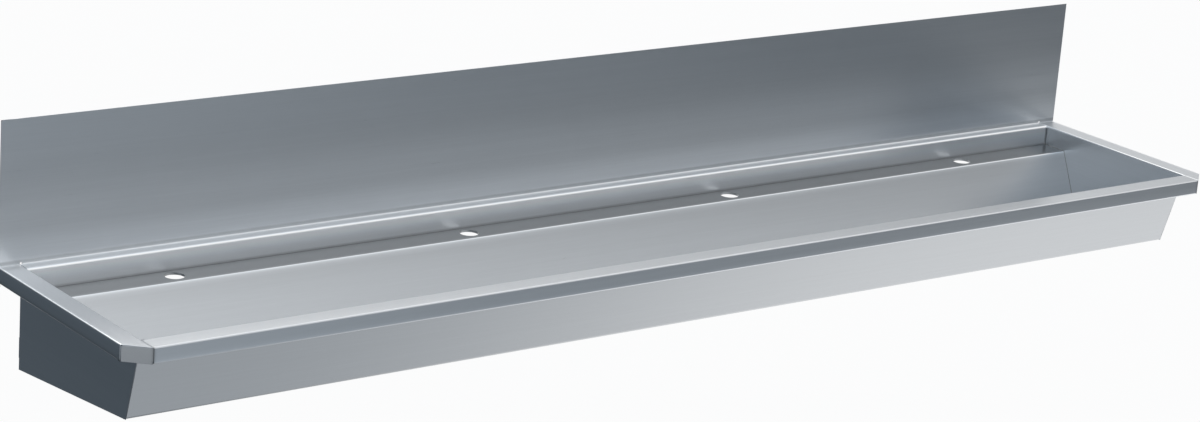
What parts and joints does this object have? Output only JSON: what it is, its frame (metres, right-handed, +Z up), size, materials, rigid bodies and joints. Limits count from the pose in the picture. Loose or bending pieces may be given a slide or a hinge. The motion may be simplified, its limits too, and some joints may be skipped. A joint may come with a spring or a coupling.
{
  "type": "wall-hung wash trough",
  "caption": "Wall-hung stainless wash trough: splashback, tap ledge with holes, sloping basin, lipped rim, waste with lift-out strainer, wall rail and ribs.",
  "frame": {"origin": "on the wall plane behind the wall rail, half-way along the trough, at the height of the rail's screws, 103 mm below the rim", "axes": "+X to the right along the wall as seen by a user, +Y into the wall, +Z up"},
  "size_m": [2.4, 0.45, 0.4503],
  "materials": {
    "satin_sheet": "satin brushed",
    "bracket_steel": "mill finish, folded",
    "polished_waste": "polished",
    "gasket_rubber": "moulded rubber",
    "pad_rubber": "ribbed rubber",
    "washer_plastic": "matt",
    "nut_plastic": "moulded",
    "sound_pad": "bitumen sheet"
  },
  "bodies": {
    "root": {"back_sheet": "satin_sheet", "basin_sheet": "satin_sheet", "end_cap_left": "satin_sheet", "end_cap_right": "satin_sheet", "corner_plate_left": "satin_sheet", "corner_plate_right": "satin_sheet", "seam_backing_left": "bracket_steel", "seam_backing_right": "bracket_steel", "tap_plate_1": "bracket_steel", "tap_plate_2": "bracket_steel", "tap_plate_3": "bracket_steel", "tap_plate_4": "bracket_steel", "support_rib_1": "bracket_steel", "support_rib_2": "bracket_steel", "support_rib_3": "bracket_steel", "wall_rail": "bracket_steel", "wall_lug_left": "bracket_steel", "wall_lug_right": "bracket_steel", "floor_stiffener_left": "bracket_steel", "floor_stiffener_right": "bracket_steel", "sound_pad_1": "sound_pad", "sound_pad_2": "sound_pad", "sound_pad_3": "sound_pad", "sound_pad_4": "sound_pad", "wall_pads": "pad_rubber", "waste_flange": "polished_waste", "flange_gasket": "gasket_rubber", "lower_gasket": "gasket_rubber", "slip_washer": "washer_plastic", "backnut": "nut_plastic"},
    "strainer": {"strainer": "polished_waste"}
  },
  "joints": [
    {"name": "strainer_lift", "type": "slide", "parent": "root", "child": "strainer", "axis": [0, 0, 1], "range_m": [0, 0.06]}
  ]
}
